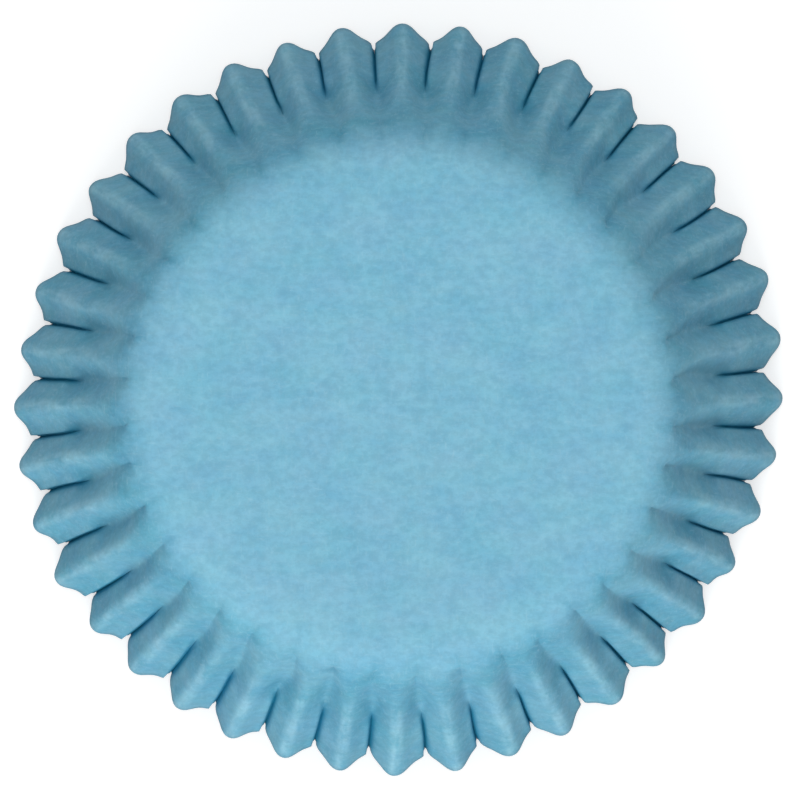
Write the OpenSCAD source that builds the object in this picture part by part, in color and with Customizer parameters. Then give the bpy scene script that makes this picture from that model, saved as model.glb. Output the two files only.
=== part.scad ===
// Pleated paper baking cup, standing mouth down on its rim with the outside of its base on top.
//
// The cup is one flat disc of paper. The middle of the disc stays flat as the base, and the ring round
// it is pressed down into a leaning wall. A circle of paper in that ring is longer than the circle it is
// pressed into, and the spare length goes into the flutes. So they are deepest at the rim, and their
// depth follows from the size of the disc, as on the real cup. They run out in the bend at the base,
// which is soft along the crests of the flutes and tighter along the creases between them.

/* [Paper] */
// Diameter of the flat disc before it is pressed
disc_d = 116; // [110:1:122]
// Thickness of the paper
paper_t = 0.1; // [0.06:0.01:0.16]

/* [Base] */
// Diameter at which the line of the wall meets the plane of the base
base_d = 51.5; // [48:0.5:54]
// Radius of the bend between base and wall along the crests
crest_bend_r = 5.8; // [4:0.1:6.4]
// Radius of the bend between base and wall along the creases
crease_bend_r = 2; // [1.2:0.1:2.8]
// Depth of the flutes where they run out in the bend
foot_depth = 0.7; // [0.5:0.05:0.9]

/* [Wall] */
// Lean of the wall away from upright, in degrees
wall_lean = 17.5; // [15:0.1:20]
// Distance along the paper from the middle of the disc at which the creases begin to close
closing_r = 41; // [38:0.5:43]
// Distance along the paper from the middle of the disc at which the creases have closed
closed_r = 46; // [44:0.5:50]
// Angle that a flute winds round the axis between the base and where its creases have closed, in degrees
foot_angle = 0.8; // [0:0.1:3]

/* [Flutes] */
// Number of flutes
flutes = 40; // [34:1:46]
// Clear gap between the two sides of a closed crease
crease_gap = 0.25; // [0.15:0.01:0.4]

/* [Rim out of round] */
// How far the rim stands out along its long axis
oval = 0.64; // [0:0.02:1.2]
// Direction of the long axis, in degrees
oval_dir = 24; // [0:1:180]
// How far the rim waves in and out three times round
three_waves = 0.12; // [0:0.02:0.3]
// Direction of one of the three waves, in degrees
three_dir = 42; // [0:1:120]
// How far the rim waves in and out four times round
four_waves = 0.14; // [0:0.02:0.3]
// Direction of one of the four waves, in degrees
four_dir = 18; // [0:1:90]
// How far the flutes of the rim crowd towards its sides
crowd = 0.37; // [0:0.01:0.8]
// How far the flutes of the rim have slipped towards its -Y end
slipped = 0.44; // [0:0.02:0.8]

/* [Hidden] */
PAPER_BLUE = [0.48, 0.70, 0.80];

// Steps round the bend between base and wall
BEND_ROWS = 3;

// One side of a flute, between its crest at [0, 0] and the bottom of its crease at [1, 1]: a share of
// the way sideways, and a share of the depth. The open form is the one at the base. A closed side has
// a plain corner, or stands out as a horn.
OPEN_SIDE = [[0.28, 0.19], [0.58, 0.63], [0.87, 0.945], [1, 0.99]];
PLAIN_SIDE = [[0.31, 0.125], [0.67, 0.46], [0.95, 0.67], [1, 1]];
HORNED_SIDE = [[0.31, 0.12], [0.63, 0.38], [0.94, 0.47], [1, 1]];

// How strongly the flutes are horned on each side, at even steps anticlockwise from +X
CLOCKWISE_HORNS = [0.3, 0.8, 1, 0.3, 1, 0.8, 0.6, 0.2, 0.1, 0.2, 0.2, 1];
ANTICLOCKWISE_HORNS = [0.2, 0.1, 0.2, 0.2, 0.1, 0.2, 0.7, 1, 0.5, 0.3, 0.4, 0.1];
MEAN_HORN = 0.4;

// Counted from one crease to the next: the crease, one side, the crest and the other side
FLUTE_POINTS = 2 * (len(OPEN_SIDE) + 1);
CREST = FLUTE_POINTS / 2;
RING_POINTS = flutes * FLUTE_POINTS;

bend_turn = 90 - wall_lean;
crease_half = (crease_gap + paper_t) / 2;

function mix(a, b, share) = a + (b - a) * share;
function smooth(share) = let (x = max(0, min(1, share))) x * x * (3 - 2 * x);
function sum(list, i = 0) = i < len(list) ? list[i] + sum(list, i + 1) : 0;
function degrees(arc, r) = arc / r * 180 / PI;

// The lines that a crest and a crease follow down the wall, each as [its bend, how far out it lies]
crest_line = [crest_bend_r, foot_depth / 2];
crease_line = [crease_bend_r, -foot_depth / 2];
function bend_start(line) = base_d / 2 + line[1] / cos(wall_lean) - line[0] * tan(bend_turn / 2);
function bend_len(line) = line[0] * bend_turn * PI / 180;
function bend_angle(line, p) = max(0, min(1, (p - bend_start(line)) / bend_len(line))) * bend_turn;
function wall_part(line, p) = max(0, p - bend_start(line) - bend_len(line));

// Radius and drop below the base on such a line, p along the paper from the middle of the disc
function line_r(line, p) =
    min(p, bend_start(line)) + line[0] * sin(bend_angle(line, p)) + wall_part(line, p) * sin(wall_lean);
function line_drop(line, p) =
    line[0] * (1 - cos(bend_angle(line, p))) + wall_part(line, p) * cos(wall_lean);
function mean_r(p) = (line_r(crest_line, p) + line_r(crease_line, p)) / 2;

// Each row is a circle of paper, from the edge of the flat base to the rim
flat_r = bend_start(crest_line);
rim_p = disc_d / 2;
rows = concat(
    [for (i = [0:BEND_ROWS]) flat_r + bend_len(crest_line) * i / BEND_ROWS],
    [closing_r, closed_r, rim_p]
);
last_row = len(rows) - 1;
function reach(p) = (p - flat_r) / (rim_p - flat_r);

// The section of one flute, as [distance sideways from the crest, share of the depth]
function closing(p) = smooth((p - closing_r) / (closed_r - closing_r));
function side_form(p, horned) = mix(OPEN_SIDE, mix(PLAIN_SIDE, HORNED_SIDE, horned), closing(p));
function half_section(p, horned) =
    let (w = PI * mean_r(p) / flutes)
    concat([[0, 0]], [for (q = side_form(p, horned)) [q[0] * (w - crease_half), q[1]]], [[w, 1]]);
function section(p, clockwise, anticlockwise) =
    let (a = half_section(p, clockwise), b = half_section(p, anticlockwise))
    concat([for (i = [CREST:-1:1]) [-a[i][0], a[i][1]]], b);

// The same section as a drawing, x sideways and y out of the wall, at a depth of the flutes
function drawn(points, depth) = [for (q = points) [q[0], -q[1] * depth]];
function length_of(points) =
    sum([for (i = [1:len(points) - 1]) norm(points[i] - points[i - 1])]);

// The depth at which the section is as long as the paper that it is folded from
function paper_share(p) = 2 * PI * p / flutes;
function spare(p, depth) =
    length_of(drawn(section(p, MEAN_HORN, MEAN_HORN), depth)) - paper_share(p);
function solve_depth(p, low, high, steps = 30) =
    let (middle = (low + high) / 2)
    steps == 0 ? middle
    : spare(p, middle) > 0 ? solve_depth(p, low, middle, steps - 1)
    : solve_depth(p, middle, high, steps - 1);

// How much deeper the flutes are in each row than the two lines are apart
deeper = [for (p = rows) max(0, solve_depth(p, 0, paper_share(p)) - foot_depth)];
function lines_apart(p) =
    norm([
        line_r(crest_line, p) - line_r(crease_line, p),
        line_drop(crest_line, p) - line_drop(crease_line, p)
    ]);

// Both faces of the paper lie half its thickness from the section, along its own normals.
function side_normal(a, b) = let (d = (b - a) / norm(b - a)) [-d[1], d[0]];
function corner_normal(points, i) =
    i == 0 ? [0, 1]
    : let (a = side_normal(points[i - 1], points[i]), b = side_normal(points[i], points[i + 1]))
      (a + b) / (1 + a * b);

// The lowest points are the creases at the rim, and they stand on the plane z = 0.
base_z = line_drop(crease_line, rim_p) + (deeper[last_row] + paper_t) / 2 * sin(wall_lean);

// A point of the cup: q in the section of a flute, and n from there to the face of the paper
function wound(p) = -foot_angle * pow(max(0, 1 - (p - flat_r) / (closed_r - flat_r)), 2);
function place(row, flute, q, n) =
    let (
        p = rows[row],
        up = deeper[row] * (0.5 - q[1]),
        tilt = mix(bend_angle(crest_line, p), bend_angle(crease_line, p), q[1]),
        nominal = 360 / flutes * flute + degrees(q[0] + n[0], mean_r(p)),
        slip = reach(p) * (crowd * cos(2 * nominal) - slipped * cos(nominal)),
        a = nominal + degrees(slip, mean_r(p)) + wound(p),
        out_of_round = oval * cos(2 * (a - oval_dir)) + three_waves * cos(3 * (a - three_dir))
            + four_waves * cos(4 * (a - four_dir)),
        r = mix(line_r(crest_line, p), line_r(crease_line, p), q[1])
            + up * cos(wall_lean) + n[1] * sin(tilt) + reach(p) * out_of_round,
        drop = mix(line_drop(crest_line, p), line_drop(crease_line, p), q[1])
            - up * sin(wall_lean) - n[1] * cos(tilt)
    )
    [r * cos(a), r * sin(a), base_z - drop];

function horn(list, flute) =
    lookup(360 / flutes * flute, [for (i = [0:len(list)]) [360 / len(list) * i, list[i % len(list)]]]);
function ring(row, side) = [
    for (flute = [0:flutes - 1])
        let (
            p = rows[row],
            points = section(p, horn(CLOCKWISE_HORNS, flute), horn(ANTICLOCKWISE_HORNS, flute)),
            outline = drawn(points, lines_apart(p) + deeper[row])
        )
        for (i = [0:FLUTE_POINTS - 1])
            place(row, flute, points[i], corner_normal(outline, i) * side * paper_t / 2)
];
function skin(side) = [for (row = [0:last_row]) each ring(row, side)];

// The outer skin comes first, then the inner one, then the middle of the base on each.
SKIN_POINTS = RING_POINTS * (last_row + 1);
function at(row, i, inner) = inner * SKIN_POINTS + row * RING_POINTS + i % RING_POINTS;
function turned(points, inner) = inner == 0 ? points : [points[0], points[2], points[1]];
function skin_faces(inner) = [
    for (i = [0:RING_POINTS - 1]) each [
        turned([2 * SKIN_POINTS + inner, at(0, i + 1, inner), at(0, i, inner)], inner),
        for (row = [1:last_row]) each [
            turned([at(row - 1, i, inner), at(row - 1, i + 1, inner), at(row, i, inner)], inner),
            turned([at(row - 1, i + 1, inner), at(row, i + 1, inner), at(row, i, inner)], inner)
        ]
    ]
];
cut_edge_faces = [
    for (i = [0:RING_POINTS - 1]) each [
        [at(last_row, i, 0), at(last_row, i + 1, 0), at(last_row, i, 1)],
        [at(last_row, i + 1, 0), at(last_row, i + 1, 1), at(last_row, i, 1)]
    ]
];

// The whole cup, one pleated sheet
module liner() {
    color(PAPER_BLUE)
        polyhedron(
            points = concat(
                skin(1),
                skin(-1),
                [[0, 0, base_z + paper_t / 2], [0, 0, base_z - paper_t / 2]]
            ),
            faces = concat(skin_faces(0), skin_faces(1), cut_edge_faces)
        );
}

liner();
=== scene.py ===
import math

import bpy
import numpy as np
from mathutils import Matrix, Vector


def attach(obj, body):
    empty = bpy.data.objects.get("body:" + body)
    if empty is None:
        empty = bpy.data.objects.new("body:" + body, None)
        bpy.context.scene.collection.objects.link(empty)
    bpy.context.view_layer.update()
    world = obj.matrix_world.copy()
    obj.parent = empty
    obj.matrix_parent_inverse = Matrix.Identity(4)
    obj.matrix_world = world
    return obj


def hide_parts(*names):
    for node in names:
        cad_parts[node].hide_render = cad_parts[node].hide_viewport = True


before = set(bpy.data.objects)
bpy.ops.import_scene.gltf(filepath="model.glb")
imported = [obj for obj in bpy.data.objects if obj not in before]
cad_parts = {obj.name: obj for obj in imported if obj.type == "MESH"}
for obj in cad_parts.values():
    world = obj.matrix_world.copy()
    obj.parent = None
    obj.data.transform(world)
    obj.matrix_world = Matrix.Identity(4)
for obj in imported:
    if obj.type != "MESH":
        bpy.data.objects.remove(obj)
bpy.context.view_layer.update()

# Lengths of the cup are in millimetres. Its mesh, the floor, the lamps and the camera are in metres.
# A distance along the paper is counted from the middle of the disc that the cup is pressed from.
MM = 0.001
SEED = 7

# The flat disc
DISC_D = 116.0
PAPER_T = 0.1

# The base is slightly domed: the tilt that it reaches, and the distances along the paper between which it
# grows
DOME_TURN = math.radians(8)
DOME_FROM = 14.0
DOME_TO = 25.0

# The wall: the diameter at which its line meets the plane of the base, and its lean away from upright
FOOT_D = 51.5
WALL_LEAN = math.radians(17.8)
# Radius of the bend along the crests, and how much longer the bend is for beginning and ending gently
CREST_BEND = 5.0
EASE = 1.2

# The flutes: their least depth, and how far they wind round the axis until their creases have closed
FLUTES = 40
LEAST_DEPTH = 0.7
WINDING = math.radians(0.8)

# How far the rim stands out along its long axis, and in waves three and four times round, each with its
# direction
OVAL = 0.64
OVAL_DIR = math.radians(24)
THREE_WAVES = 0.12
THREE_DIR = math.radians(42)
FOUR_WAVES = 0.14
FOUR_DIR = math.radians(18)
# How far the flutes of the rim crowd towards its sides, have slipped towards its -Y end, and have turned
CROWD = 0.37
SLIPPED = 0.44
TURNED = 0.12

# Distances along the paper between which the creases leave the line of the crests. They then lie further in,
# square to that line, and further back along it.
CREASE_FROM = 25.2
CREASE_TO = 27.2
CREASE_IN = 0.577
CREASE_BACK = 0.279
# Creases start sharp, in a curve of this power, and have grown round at this distance along the paper.
SHARP_POWER = 2.3
ROUND_FROM = 34.0
# Distances along the paper between which the creases close, and half the gap left in a closed one
OPEN_TO = 41.0
CLOSED_FROM = 46.0
GAP_HALF = 0.06

# How uneven the pressed paper is, as standard deviations: at the rim, crests and creases in and out, and
# sideways
CREST_UNEVEN = 0.11
CREASE_UNEVEN = 0.18
SIDEWAYS_UNEVEN = 0.11
# Next to the base: creases in and out, sideways, and in how late they start. The first is at most FOOT_MOST,
# and the first two fade from FOOT_TO along the paper.
FOOT_UNEVEN = 0.10
FOOT_SIDEWAYS = 0.25
START_UNEVEN = 0.25
FOOT_MOST = 0.16
FOOT_TO = 33.0
# Where along the paper the creases close
CLOSING_UNEVEN = 0.6
# How far crests and creases sway sideways on their way down, in waves of these speeds and shares, and how
# soon the sway has grown
SWAY = 0.07
SWAY_WAVES = ((5, 1.0), (11, 0.5))
SWAY_GROWTH = 3

# Distances along the paper between which painted shade turns it into the deeper blue of the wall, sooner in
# the creases
WALL_SHADING_FROM = 23.1
WALL_SHADING_TO = 28.8
CREASE_SHADING_TO = 26.4
# Where a painted highlight, a pale sheen, runs along a flute's crest: distances along the paper, and to each
# side of the crest
SHEEN_FROM = 29.0
SHEEN_TO = 41.0
SHEEN_HALF = 0.20
SHEEN_FADE = 0.60
# Shares of the depth between which a closed crease takes on its painted shade
SHADE_FROM = 0.50
SHADE_TO = 0.85

# Half of a flute's section, from crest to the bottom of its crease: a share of the width, and of the depth.
# All have as many points, so that one can turn into another. A flute's right side is the clockwise one.
OPEN_FORM = [
    (0, 0), (0.10, 0.03), (0.20, 0.10), (0.30, 0.20), (0.40, 0.33), (0.50, 0.47), (0.60, 0.62),
    (0.69, 0.75), (0.77, 0.85), (0.84, 0.925), (0.90, 0.97), (0.95, 0.992), (1, 1),
]
LEFT_PLAIN = [
    (0, 0), (0.10, 0.010), (0.20, 0.050), (0.31, 0.125), (0.43, 0.235), (0.55, 0.35), (0.67, 0.455),
    (0.79, 0.54), (0.88, 0.60), (0.945, 0.66), (0.96, 0.81), (1, 0.87), (1, 1),
]
RIGHT_PLAIN = [
    (0, 0), (0.10, 0.010), (0.20, 0.050), (0.31, 0.125), (0.42, 0.225), (0.53, 0.33), (0.64, 0.43),
    (0.74, 0.52), (0.83, 0.62), (0.90, 0.725), (0.95, 0.835), (1, 0.875), (1, 1),
]
LEFT_HORNED = [
    (0, 0), (0.10, 0.010), (0.20, 0.045), (0.30, 0.11), (0.40, 0.205), (0.50, 0.30), (0.60, 0.37),
    (0.72, 0.425), (0.84, 0.455), (0.94, 0.475), (0.96, 0.70), (1, 0.76), (1, 1),
]
RIGHT_HORNED = [
    (0, 0), (0.10, 0.010), (0.20, 0.045), (0.30, 0.11), (0.40, 0.205), (0.50, 0.30), (0.60, 0.37),
    (0.72, 0.425), (0.84, 0.465), (0.93, 0.515), (0.96, 0.74), (1, 0.80), (1, 1),
]
# Points of the section from one crease to the next
FLUTE_POINTS = 2 * (len(OPEN_FORM) - 1)

# How strongly the flutes are horned on each side, every 30 degrees anticlockwise from +X
RIGHT_HORNS = [0.3, 0.8, 1.0, 0.3, 0.9, 0.7, 0.5, 0.2, 0.1, 0.2, 0.4, 1.2]
LEFT_HORNS = [0.2, 0.1, 0.2, 0.2, 0.1, 0.2, 0.7, 1.0, 0.5, 0.3, 0.4, 0.1]
# The most that it can be, how uneven it is, and the strength with which the depth of the flutes is found
HORN_MOST = 1.2
HORN_UNEVEN = 0.12
MEAN_HORN = 0.4
# How far a flute's crest leans away from its horned side, as a share of half its width
HORN_SKEW = 0.05

# Points of the bend and of the whole line of the crests, and halvings in the search for a flute's depth
BEND_POINTS = 400
LINE_POINTS = 6000
DEPTH_STEPS = 40
# How far apart the texture of one flute lies from that of the next
TEXTURE_STEP = 9.0

bend_turn = math.pi / 2 - WALL_LEAN
bend_length = EASE * CREST_BEND * bend_turn
rim = DISC_D / 2


# Lines of the crests and the creases

def smooth(share):
    """Eases a share from 0 to 1 with level ends."""
    x = np.clip(share, 0, 1)
    return x * x * (3 - 2 * x)


def bend_start():
    """Distance along the paper at which the crests begin to bend down from the base."""
    angle = bend_turn * smooth(np.linspace(0, 1, BEND_POINTS))
    reach, drop = (bend_length * part.mean() for part in (np.cos(angle), np.sin(angle)))
    return FOOT_D / 2 + LEAST_DEPTH / 2 / math.cos(WALL_LEAN) - (reach - drop / math.tan(bend_turn))


def crest_line(paper):
    """Radius, drop below the base and tilt of the crests, at distances along the paper."""
    path = np.linspace(0, rim, LINE_POINTS)
    dome = DOME_TURN * np.clip((path - DOME_FROM) / (DOME_TO - DOME_FROM), 0, 1) ** 2
    angle = dome + (bend_turn - dome) * smooth((path - flat_r) / bend_length)
    radius, drop = (np.concatenate([[0], np.cumsum((part[1:] + part[:-1]) * path[1] / 2)])
                    for part in (np.cos(angle), np.sin(angle)))
    return tuple(np.interp(paper, path, values) for values in (radius, drop, angle))


def crease_line(paper, later=0.0):
    """Radius and drop of the creases, which leave the line of the crests near the base, or a little later."""
    radius, drop, tilt = crest_line(paper)
    share = smooth((paper - later - CREASE_FROM) / (CREASE_TO - CREASE_FROM))
    inward, back = share * CREASE_IN, share * CREASE_BACK
    return (radius - inward * np.sin(tilt) - back * np.cos(tilt),
            drop + inward * np.cos(tilt) - back * np.sin(tilt))


def mean_radius(paper):
    """Radius halfway between the crests and the creases."""
    return (crest_line(paper)[0] + crease_line(paper)[0]) / 2


flat_r = bend_start()
bend_to = flat_r + bend_length

# Rings of the base, as shares of its radius, and rows of the wall, as distances along the paper, which lie
# closest where it is bent or closes
BASE_RINGS = np.array([0.3, 0.6, 0.68, 0.76, 0.84, 0.92])
rows = np.concatenate([
    np.linspace(flat_r, CREASE_FROM, 5)[:-1],
    np.linspace(CREASE_FROM, CREASE_TO, 9)[:-1],
    np.linspace(CREASE_TO, bend_to, 4)[:-1],
    np.linspace(bend_to, OPEN_TO, 8)[:-1],
    np.linspace(OPEN_TO, CLOSED_FROM, 11)[:-1],
    np.linspace(CLOSED_FROM, rim, 10),
])


# Section of the flutes

def closing(paper):
    """How far the creases have closed."""
    return smooth((paper - OPEN_TO) / (CLOSED_FROM - OPEN_TO))


def half_section(paper, closed, horned, plain_form, horned_form, width):
    """Distance sideways from the crest and share of the depth, for arrays of flutes."""
    open_form = np.array(OPEN_FORM)
    rounded = smooth((paper - CREASE_FROM) / (ROUND_FROM - CREASE_FROM))[..., None]
    open_y = rounded * open_form[:, 1] + (1 - rounded) * open_form[:, 0] ** SHARP_POWER
    open_x = open_form[:, 0] * width[..., None]
    horned = horned[..., None, None]
    form = np.array(plain_form) * (1 - horned) + np.array(horned_form) * horned
    closed_x = form[..., 0] * (width - GAP_HALF)[..., None]
    closed_x[..., -1] = width
    share = closed[..., None]
    return open_x + share * (closed_x - open_x), open_y + share * (form[..., 1] - open_y)


def solve_depth(paper):
    """Depth at which a flute's section is as long as the paper folded into it, or else the least depth."""
    width = math.pi * mean_radius(paper) / FLUTES
    length = math.pi * paper / FLUTES
    horned = np.full_like(paper, MEAN_HORN)
    x, y = half_section(paper, closing(paper), horned, RIGHT_PLAIN, RIGHT_HORNED, width)
    low = np.zeros_like(paper)
    high = 2 * length
    for _ in range(DEPTH_STEPS):
        depth = (low + high) / 2
        total = np.hypot(np.diff(x, axis=-1), np.diff(y, axis=-1) * depth[..., None]).sum(-1)
        low = np.where(total > length, low, depth)
        high = np.where(total > length, depth, high)
    return np.maximum(depth, LEAST_DEPTH)


def around(values, angle):
    """A value for each angle, from values set at even steps round the circle."""
    steps = len(values)
    place = (angle / (2 * math.pi) * steps) % steps
    first = np.floor(place).astype(int) % steps
    share = place - np.floor(place)
    v = np.array(values)
    return v[first] * (1 - share) + v[(first + 1) % steps] * share


def horns(rng, strengths, angle):
    """How strongly each flute is horned on one side."""
    return np.clip(around(strengths, angle) + rng.normal(0, HORN_UNEVEN, FLUTES), 0, HORN_MOST)


def sway(rng, reach):
    """A slow sideways sway of each crest or crease, in millimetres."""
    starts = rng.uniform(0, 2 * math.pi, (2, FLUTES))
    waves = sum(share * np.sin(reach * speed + start) for (speed, share), start in zip(SWAY_WAVES, starts))
    return SWAY * waves * smooth(reach * SWAY_GROWTH)


# The pleated sheet

def pleated_sheet():
    """The middle of the paper as a grid of points: rows from the flat base to the rim, and round the cup.

    Also each point's place on the paper, for its texture, and its share of the depth.
    """
    rng = np.random.default_rng(SEED)
    foot_rng = np.random.default_rng(SEED + 1)
    paper = rows[:, None]
    reach = (paper - flat_r) / (rim - flat_r)
    radius = mean_radius(paper)
    pitch = 2 * math.pi / FLUTES
    number = np.arange(FLUTES)

    right_horn = horns(rng, RIGHT_HORNS, number * pitch)
    left_horn = horns(rng, LEFT_HORNS, number * pitch)
    skew = HORN_SKEW * (right_horn - left_horn) * pitch / 2

    # How far the crests and the creases stand out
    crest_up = reach * rng.normal(0, CREST_UNEVEN, FLUTES)
    crease_up = reach * np.abs(rng.normal(0, CREASE_UNEVEN, FLUTES))
    foot_up = np.clip(foot_rng.normal(0, FOOT_UNEVEN, FLUTES), -FOOT_MOST, FOOT_MOST)
    crease_starts = np.abs(foot_rng.normal(0, START_UNEVEN, FLUTES))
    at_foot = smooth((paper - crease_starts - CREASE_FROM) / (CREASE_TO - CREASE_FROM))
    at_foot = at_foot * (1 - smooth((paper - FOOT_TO) / (OPEN_TO - FOOT_TO)))
    crease_up = crease_up + at_foot * foot_up

    # The angles at which they lie
    crest_turn = number * pitch + reach * (rng.normal(0, SIDEWAYS_UNEVEN, FLUTES) / radius + skew)
    crease_turn = (number + 0.5) * pitch + reach * rng.normal(0, SIDEWAYS_UNEVEN, FLUTES) / radius
    crest_turn = crest_turn + sway(rng, reach) / radius
    foot_shift = at_foot * foot_rng.normal(0, FOOT_SIDEWAYS, FLUTES)
    crease_turn = crease_turn + (sway(rng, reach) + foot_shift) / radius
    closed = closing(paper - rng.normal(0, CLOSING_UNEVEN, FLUTES))

    def half(side, horned, crease_turn, plain_form, horned_form):
        """One side of every flute: angle, distance from the crest and share of the depth."""
        width = side * (crease_turn - crest_turn) * radius
        x, y = half_section(paper, closed, horned, plain_form, horned_form, width)
        return crest_turn[..., None] + side * x / radius[..., None], side * x, y

    def uneven(y, crest, crease):
        """How far one side of every flute stands out."""
        return crest[..., None] * (1 - y) + crease[..., None] * y

    def ring(right, left):
        """Both sides of every flute as whole rows, each flute from the crease on its right."""
        return np.concatenate([right[..., :0:-1], left[..., :-1]], -1).reshape(len(rows), -1)

    def crease_ring(values):
        """Values of the creases as whole rows. A flute's right crease is the left one of the flute before."""
        right, left = (v[..., None] * np.ones(left_y.shape) for v in (np.roll(values, 1, 1), values))
        return ring(right, left)

    left_turn, left_x, left_y = half(1, left_horn, crease_turn, LEFT_PLAIN, LEFT_HORNED)
    before_turn = np.roll(crease_turn, 1, 1) - np.where(number == 0, 2 * math.pi, 0)
    right_turn, right_x, right_y = half(-1, right_horn, before_turn, RIGHT_PLAIN, RIGHT_HORNED)
    left_up = uneven(left_y, crest_up, crease_up)
    right_up = uneven(right_y, crest_up, np.roll(crease_up, 1, 1))
    turn = ring(right_turn, left_turn)
    y = ring(right_y, left_y)
    across = ring(right_x, left_x)

    deeper = np.maximum(solve_depth(rows)[:, None] - LEAST_DEPTH, 0)
    up = ring(right_up, left_up) + deeper * (0.5 - y)
    slip = reach * (CROWD * np.cos(2 * turn) - SLIPPED * np.cos(turn) + TURNED) / radius
    wound = -WINDING * np.maximum(0, 1 - (paper - flat_r) / (CLOSED_FROM - flat_r)) ** 2
    angle = turn + slip + wound
    out_of_round = reach * (
        OVAL * np.cos(2 * (angle - OVAL_DIR)) + THREE_WAVES * np.cos(3 * (angle - THREE_DIR))
        + FOUR_WAVES * np.cos(4 * (angle - FOUR_DIR))
    )
    crest_r, crest_drop, tilt = crest_line(paper)
    crease_r, crease_drop = (crease_ring(values) for values in crease_line(paper, crease_starts))
    r = crest_r * (1 - y) + crease_r * y + up * np.sin(tilt) + out_of_round
    drop = crest_drop * (1 - y) + crease_drop * y - up * np.cos(tilt)
    grid = np.stack([r * np.cos(angle), r * np.sin(angle), -drop], -1)
    flute = np.broadcast_to(np.repeat(number, FLUTE_POINTS) * TEXTURE_STEP, across.shape)
    on_paper = np.stack([across, np.broadcast_to(paper, across.shape), flute], -1)
    return grid, on_paper, y


def base_rings(edge):
    """Rings of the base, from near its middle to its edge."""
    drops = crest_line(BASE_RINGS * flat_r)[1]
    return np.array([edge * [share, share, 0] - [0, 0, drop] for share, drop in zip(BASE_RINGS, drops)])


def normals(grid):
    """Outward normals of a grid that closes on itself sideways."""
    across = np.roll(grid, -1, 1) - np.roll(grid, 1, 1)
    down = np.gradient(grid, axis=0)
    n = np.cross(down, across)
    return n / np.linalg.norm(n, axis=-1, keepdims=True)


def sheet_faces(count, around_count):
    """Faces of the outer and the inner skin, and of the cut edge between them.

    Each skin has its rows of points first, and then the middle of the base.
    """
    skin_points = count * around_count + 1

    def at(row, i, inner):
        return inner * skin_points + row * around_count + i % around_count

    faces = []
    last = count - 1
    for i in range(around_count):
        for inner, order in ((0, 1), (1, -1)):
            middle = (inner + 1) * skin_points - 1
            faces.append([middle, at(0, i, inner), at(0, i + 1, inner)][::order])
            for row in range(last):
                quad = [at(row, i, inner), at(row + 1, i, inner),
                        at(row + 1, i + 1, inner), at(row, i + 1, inner)]
                faces.append(quad[::order])
        faces.append([at(last, i, 0), at(last, i, 1), at(last, i + 1, 1), at(last, i + 1, 0)])
    return faces


def sheet_mesh(name):
    """The whole cup as one closed mesh, with both faces of the paper and its cut edge."""
    wall, on_paper, y = pleated_sheet()
    middle = np.concatenate([base_rings(wall[0]), wall])
    spare = len(BASE_RINGS)
    on_paper = np.concatenate([np.repeat(on_paper[:1], spare, 0) * [1, 0, 1], on_paper])
    y = np.concatenate([np.repeat(y[:1], spare, 0), y])
    normal = normals(middle)
    normal[0] = [0, 0, 1]
    points = []
    for side in (0.5, -0.5):
        face = middle + normal * side * PAPER_T
        points += [face.reshape(-1, 3), np.array([[0, 0, face[0, 0, 2]]])]
    points = np.concatenate(points) * MM
    points[:, 2] -= points[:, 2].min()

    mesh = bpy.data.meshes.new(name)
    mesh.from_pydata(points.tolist(), [], sheet_faces(*middle.shape[:2]))
    mesh.shade_smooth()
    mesh.update()
    add_looks(mesh, on_paper, y)
    return mesh


def add_looks(mesh, on_paper, y):
    """Stores where the paper has painted shade on its wall and in its closed creases, a painted highlight
    along its crests, and its coordinates.
    """
    across, along = on_paper[..., 0], on_paper[..., 1]
    # Painted shade over the wall, coming sooner in the creases
    shading_to = WALL_SHADING_TO + (CREASE_SHADING_TO - WALL_SHADING_TO) * y
    wall_shading = smooth((along - WALL_SHADING_FROM) / (shading_to - WALL_SHADING_FROM))
    # Painted highlight along the crests
    crest = smooth((along - SHEEN_FROM) / (SHEEN_TO - SHEEN_FROM))
    crest = crest * (1 - smooth((np.abs(across) - SHEEN_HALF) / SHEEN_FADE))
    # Painted shade in the closed creases
    crease = closing(along) ** 2 * smooth((y - SHADE_FROM) / (SHADE_TO - SHADE_FROM))
    for label, values in (("wall_shading", wall_shading), ("crest", crest), ("crease", crease)):
        add_attribute(mesh, label, "FLOAT", "value", values.reshape(-1, 1))
    add_attribute(mesh, "on_paper", "FLOAT_VECTOR", "vector", on_paper.reshape(-1, 3))


def add_attribute(mesh, label, kind, field, values):
    """Stores values of the middle of the paper on both of its faces."""
    centre = np.zeros((1, values.shape[1]))
    both = np.concatenate([values, centre, values, centre]).astype(np.float32)
    attribute = mesh.attributes.new(label, kind, "POINT")
    attribute.data.foreach_set(field, both.ravel())


# Materials

def srgb(r, g, b):
    """A display colour of 0 to 255 as the linear colour that a shader takes."""
    out = []
    for v in (r, g, b):
        c = v / 255
        out.append(c / 12.92 if c <= 0.04045 else ((c + 0.055) / 1.055) ** 2.4)
    return (*out, 1.0)


BASE_BLUE = srgb(120, 180, 204)
# Painted shade: the darker blue of the wall
PAINTED_WALL_SHADE = srgb(75, 148, 174)
FIBRE_BLUE = srgb(165, 203, 217)
DEEP_BLUE = srgb(92, 160, 192)
# Painted highlight along the crests
PAINTED_SHEEN_BLUE = srgb(158, 204, 220)
# Painted shade in the closed creases
PAINTED_CREASE_SHADE = srgb(38, 134, 166)
# The floor's own grey, and how much it glows to the camera and in reflections
FLOOR_GREY = 0.55
FLOOR_GLOW = 0.60


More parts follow.
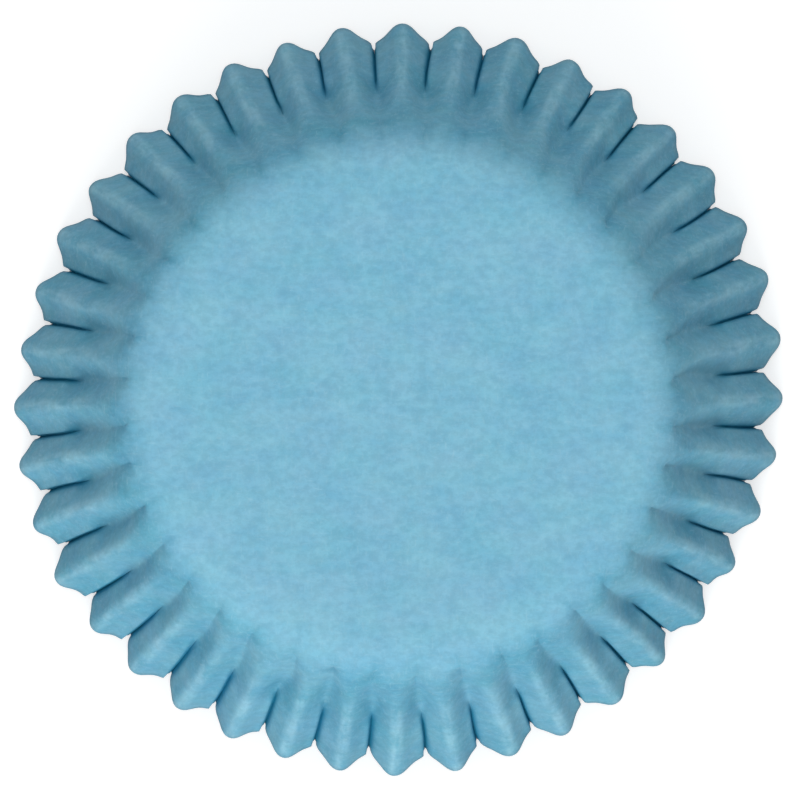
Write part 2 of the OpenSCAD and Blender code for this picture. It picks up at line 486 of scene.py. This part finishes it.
def paper_material():
    """Light-blue greaseproof paper, mottled and flecked with pale fibres, with painted shade on its wall and
    in its closed creases and a painted highlight along its crests.
    """
    material = bpy.data.materials.new("blue_paper")
    material.use_nodes = True
    tree = material.node_tree
    shader = tree.nodes["Principled BSDF"]
    shader.inputs["Specular IOR Level"].default_value = 0.1

    def node(kind, **settings):
        made = tree.nodes.new(kind)
        for key, value in settings.items():
            setattr(made, key, value)
        return made

    def link(source, target):
        if isinstance(source, (int, float, tuple)):
            target.default_value = source
        else:
            tree.links.new(source, target)

    def attribute(name, output):
        return node("ShaderNodeAttribute", attribute_name=name).outputs[output]

    def maths(operation, a, b=0.0, clamp=False):
        made = node("ShaderNodeMath", operation=operation, use_clamp=clamp)
        link(a, made.inputs[0])
        link(b, made.inputs[1])
        return made.outputs[0]

    def noise(vector, scale, detail, roughness, turn=0.0, distortion=0.0):
        """A noise of 0 to 1, with its own scale in each direction and turned about Z."""
        mapping = node("ShaderNodeMapping")
        link(vector, mapping.inputs["Vector"])
        link(scale, mapping.inputs["Scale"])
        link((0.0, 0.0, turn), mapping.inputs["Rotation"])
        made = node("ShaderNodeTexNoise")
        link(mapping.outputs[0], made.inputs["Vector"])
        link(1.0, made.inputs["Scale"])
        link(detail, made.inputs["Detail"])
        link(roughness, made.inputs["Roughness"])
        link(distortion, made.inputs["Distortion"])
        return made.outputs["Fac"]

    def ramp(value, low, high, to_low=0.0, to_high=1.0):
        made = node("ShaderNodeMapRange", interpolation_type="SMOOTHSTEP")
        for name, number in (("Value", value), ("From Min", low), ("From Max", high),
                             ("To Min", to_low), ("To Max", to_high)):
            link(number, made.inputs[name])
        return made.outputs["Result"]

    def mix(share, a, b):
        made = node("ShaderNodeMix", data_type="RGBA")
        colours = [socket for socket in made.inputs if socket.type == "RGBA"]
        link(share, made.inputs["Factor"])
        link(a, colours[0])
        link(b, colours[1])
        return [socket for socket in made.outputs if socket.type == "RGBA"][0]

    place = node("ShaderNodeTexCoord").outputs["Object"]
    wall_shading = attribute("wall_shading", "Fac")
    crest = attribute("crest", "Fac")
    crease = attribute("crease", "Fac")
    on_paper = attribute("on_paper", "Vector")

    # Patterns on the whole cup, in waves for each metre, from the coarsest to the finest
    mottle = noise(place, (150.0, 190.0, 100.0), 2.0, 0.6)
    tint = noise(place, (200.0, 260.0, 120.0), 3.0, 0.6)
    band = noise(place, (60.0, 900.0, 300.0), 3.0, 0.6)
    cloud = noise(place, (480.0, 620.0, 300.0), 3.0, 0.6)
    grain = noise(place, (1100.0, 1500.0, 600.0), 4.0, 0.7)
    fibres = maths(
        "MAXIMUM",
        noise(place, (1100.0, 4200.0, 1000.0), 3.0, 0.6, 0.4, 0.8),
        noise(place, (4200.0, 1200.0, 1000.0), 3.0, 0.6, 0.25, 0.8),
    )
    # Patterns that run down the flutes, in waves for each millimetre of the paper
    patch = noise(on_paper, (0.9, 0.16, 1.0), 3.0, 0.6)
    dash = noise(on_paper, (2.6, 1.6, 1.0), 2.0, 0.6, 0.0, 0.4)

    # Painted shade over the wall
    colour = mix(wall_shading, BASE_BLUE, PAINTED_WALL_SHADE)
    colour = mix(ramp(mottle, 0.35, 0.65, 0.0, 0.14), colour, FIBRE_BLUE)
    colour = mix(ramp(cloud, 0.62, 0.32, 0.0, 0.25), colour, DEEP_BLUE)
    colour = mix(ramp(band, 0.35, 0.65, 0.0, 0.05), colour, FIBRE_BLUE)
    colour = mix(ramp(fibres, 0.50, 0.85, 0.0, 0.28), colour, FIBRE_BLUE)
    # Painted highlight, in patches and dashes, along the crests
    sheen = maths("ADD", ramp(patch, 0.34, 0.64, 0.05, 0.40), ramp(dash, 0.56, 0.75, 0.0, 0.13))
    colour = mix(maths("MULTIPLY", crest, sheen, clamp=True), colour, PAINTED_SHEEN_BLUE)
    # Painted shade in the closed creases
    colour = mix(crease, colour, PAINTED_CREASE_SHADE)
    shade = node("ShaderNodeHueSaturation")
    link(colour, shade.inputs["Color"])
    link(ramp(tint, 0.3, 0.7, 0.496, 0.504), shade.inputs["Hue"])
    link(ramp(grain, 0.34, 0.66, 0.935, 1.065), shade.inputs["Value"])
    link(shade.outputs["Color"], shader.inputs["Base Color"])
    link(ramp(cloud, 0.3, 0.7, 0.62, 0.54), shader.inputs["Roughness"])

    crest_relief = maths("MULTIPLY", maths("MULTIPLY", dash, crest), 0.3)
    relief = maths("ADD", maths("MULTIPLY", fibres, 0.5), crest_relief)
    bump = node("ShaderNodeBump")
    bump.inputs["Strength"].default_value = 0.35
    bump.inputs["Distance"].default_value = 0.00006
    link(relief, bump.inputs["Height"])
    link(bump.outputs["Normal"], shader.inputs["Normal"])
    return material


def floor_material():
    """A pale floor that shows pure white in the picture and in reflections, with a soft shadow on it."""
    material = bpy.data.materials.new("floor_white")
    material.use_nodes = True
    tree = material.node_tree
    shader = tree.nodes["Principled BSDF"]
    shader.inputs["Base Color"].default_value = (FLOOR_GREY, FLOOR_GREY, FLOOR_GREY, 1)
    shader.inputs["Roughness"].default_value = 0.9
    glow = tree.nodes.new("ShaderNodeEmission")
    glow.inputs["Strength"].default_value = FLOOR_GLOW
    both = tree.nodes.new("ShaderNodeAddShader")
    tree.links.new(shader.outputs[0], both.inputs[0])
    tree.links.new(glow.outputs[0], both.inputs[1])

    rays = tree.nodes.new("ShaderNodeLightPath").outputs
    seen = rays["Is Camera Ray"]
    for kind in ("Is Glossy Ray", "Is Transmission Ray"):
        either = tree.nodes.new("ShaderNodeMath")
        either.operation = "MAXIMUM"
        tree.links.new(seen, either.inputs[0])
        tree.links.new(rays[kind], either.inputs[1])
        seen = either.outputs[0]
    choose = tree.nodes.new("ShaderNodeMixShader")
    tree.links.new(seen, choose.inputs[0])
    tree.links.new(shader.outputs[0], choose.inputs[1])
    tree.links.new(both.outputs[0], choose.inputs[2])
    tree.links.new(choose.outputs[0], tree.nodes["Material Output"].inputs["Surface"])
    return material


# Stage, lights and camera

FLOOR_SIZE = 4.0

# Lamps: name, place, width, power and colour
LAMPS = [
    ("front", (-0.15, -1.1, 0.6), 0.9, 11.9, (1.0, 0.97, 0.95)),
    ("back", (0, 0.6, 1.0), 0.5, 2.55, (1.0, 1.0, 1.0)),
]
LAMP_TARGET = (0, 0, 0.02)
SKY_COLOUR = (0.95, 0.985, 1, 1)
SKY_STRENGTH = 0.6

# The photograph's scale, as pixels for each millimetre on the floor, seen from this height and from a little
# towards +Y
IMAGE_PX = 800
PX_PER_MM = 10.19
CAMERA_HEIGHT = 0.70
CAMERA_BACK = 0.0089
AIM = (0.00008, -0.00015, 0.0)
SENSOR_MM = 36.0


def add_floor():
    bpy.ops.mesh.primitive_plane_add(size=FLOOR_SIZE)
    floor = bpy.context.object
    floor.name = "floor"
    floor.data.materials.append(floor_material())


def add_lamp(name, place, size, power, colour):
    """A square lamp that points at the cup."""
    light = bpy.data.lights.new(name, "AREA")
    light.shape = "SQUARE"
    light.size = size
    light.energy = power
    light.color = colour
    lamp = bpy.data.objects.new(name, light)
    lamp.location = place
    lamp.rotation_euler = (Vector(LAMP_TARGET) - Vector(place)).to_track_quat("-Z", "Y").to_euler()
    bpy.context.scene.collection.objects.link(lamp)


def add_lights():
    for lamp in LAMPS:
        add_lamp(*lamp)
    world = bpy.data.worlds.new("studio")
    bpy.context.scene.world = world
    world.use_nodes = True
    background = world.node_tree.nodes["Background"]
    background.inputs["Color"].default_value = SKY_COLOUR
    background.inputs["Strength"].default_value = SKY_STRENGTH


def add_camera():
    """Looks straight down, with the top of the photograph towards +Y."""
    data = bpy.data.cameras.new("camera")
    data.sensor_width = SENSOR_MM
    data.lens = PX_PER_MM * CAMERA_HEIGHT / MM / IMAGE_PX * data.sensor_width
    camera = bpy.data.objects.new("camera", data)
    camera.location = (0, CAMERA_BACK, CAMERA_HEIGHT)
    back = (camera.location - Vector(AIM)).normalized()
    right = Vector((0, 1, 0)).cross(back).normalized()
    camera.rotation_euler = Matrix((right, back.cross(right), back)).transposed().to_euler()
    bpy.context.scene.collection.objects.link(camera)
    bpy.context.scene.camera = camera


def add_liner():
    mesh = sheet_mesh("liner_paper")
    mesh.materials.append(paper_material())
    liner = bpy.data.objects.new("liner_paper", mesh)
    bpy.context.scene.collection.objects.link(liner)
    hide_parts("liner")
    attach(liner, "root")


add_liner()
add_floor()
add_lights()
add_camera()
bpy.context.scene.view_settings.view_transform = "Standard"
